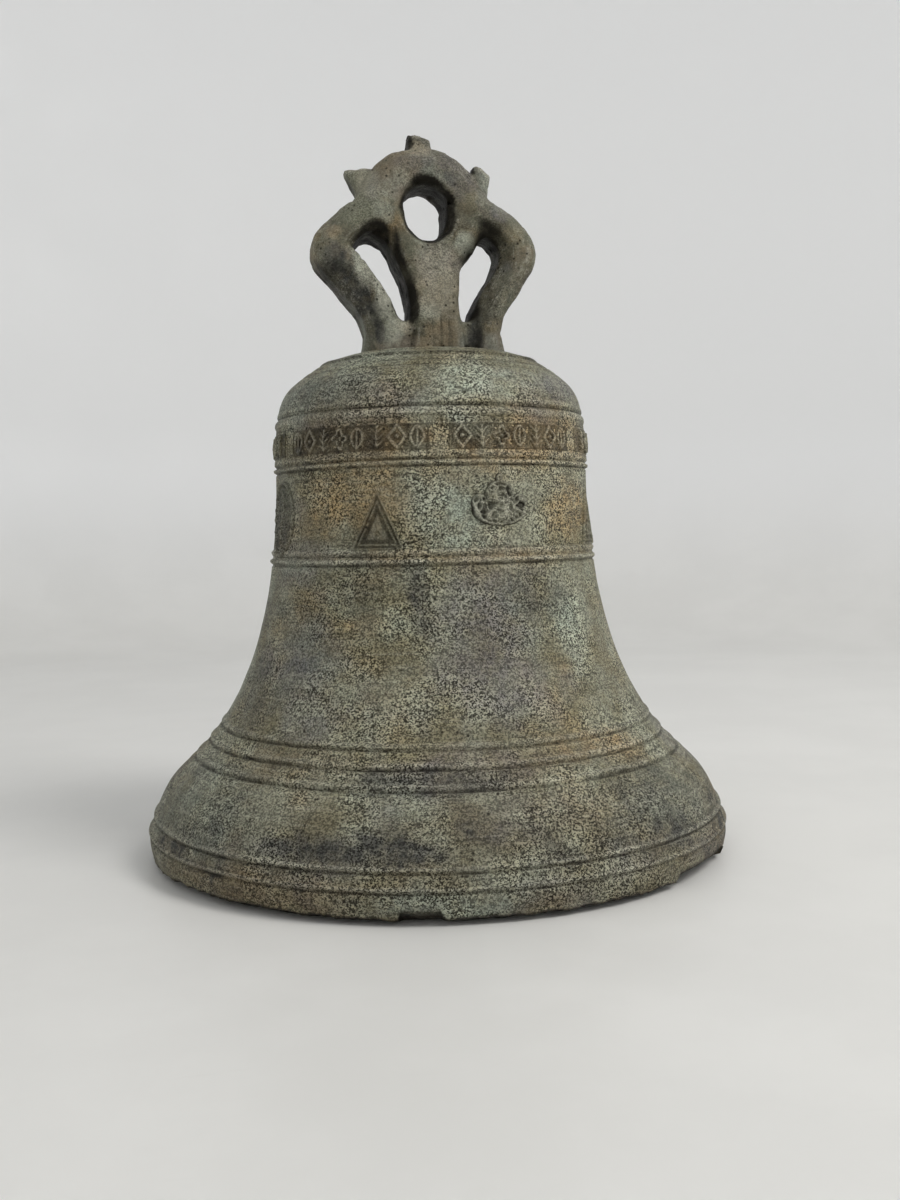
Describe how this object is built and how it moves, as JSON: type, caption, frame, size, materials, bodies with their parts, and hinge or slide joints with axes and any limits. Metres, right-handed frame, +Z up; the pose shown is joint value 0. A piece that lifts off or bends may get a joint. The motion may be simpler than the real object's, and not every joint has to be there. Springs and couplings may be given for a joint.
{
  "type": "church bell",
  "caption": "Small flared bronze bell with a looped crown, cast bands and plaques, and an iron clapper that swings on a bolt.",
  "frame": {"origin": "centre of the plane that the lip rests on", "axes": "+Z up along the bell's axis, +X along the crown and the headstock, so the bell and its clapper swing about X"},
  "size_m": [0.3621, 0.362, 0.4441],
  "materials": {
    "bell_bronze": "old bell bronze with a mottled grey-green patina",
    "crown_bronze": "old bell bronze with a darker green-brown patina",
    "forged_iron": "forged iron, brown with old rust",
    "leather": "dark greased leather"
  },
  "bodies": {
    "bell": {"bell_body": "bell_bronze", "crown": "crown_bronze", "crown_staple": "forged_iron", "cheek_washers": "leather", "pivot_bolt": "forged_iron", "bolt_washer": "forged_iron", "bolt_nut": "forged_iron", "split_pin": "forged_iron"},
    "clapper": {"clapper": "forged_iron", "clapper_bush": "leather"}
  },
  "joints": [
    {"name": "clapper_swing", "type": "hinge", "parent": "bell", "child": "clapper", "pos_m": [0, 0, 0.276], "axis": [1, 0, 0], "range_deg": [-25.5, 25.5]}
  ]
}
